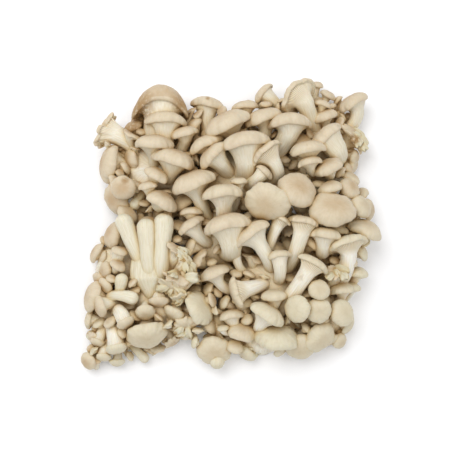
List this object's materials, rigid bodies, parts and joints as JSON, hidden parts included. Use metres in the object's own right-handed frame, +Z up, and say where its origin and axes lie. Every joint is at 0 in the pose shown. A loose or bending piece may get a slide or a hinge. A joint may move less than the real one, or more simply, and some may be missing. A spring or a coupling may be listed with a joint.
{
  "type": "mushroom cluster",
  "caption": "Bunch of small pale mushrooms in clumps grown together at the base, packed close and lying on their flat cut bases.",
  "frame": {"origin": "a point on the flat cut base of clump_middle, on the plane that all the bases rest on, near the middle of the bunch", "axes": "+Z up; +Y towards the top of the bunch, where most of the caps lean; +X to the right seen from above"},
  "size_m": [0.2099, 0.2112, 0.0542],
  "materials": {
    "flesh": "matte"
  },
  "bodies": {
    "root": {"clump_middle": "flesh", "clump_lower_middle": "flesh", "clump_upper_middle": "flesh", "clump_right": "flesh", "clump_upper_right": "flesh", "clump_upper_left": "flesh", "clump_lower_right": "flesh", "clump_lower": "flesh", "clump_fingers": "flesh", "clump_lower_left": "flesh", "clump_left": "flesh"}
  },
  "joints": []
}
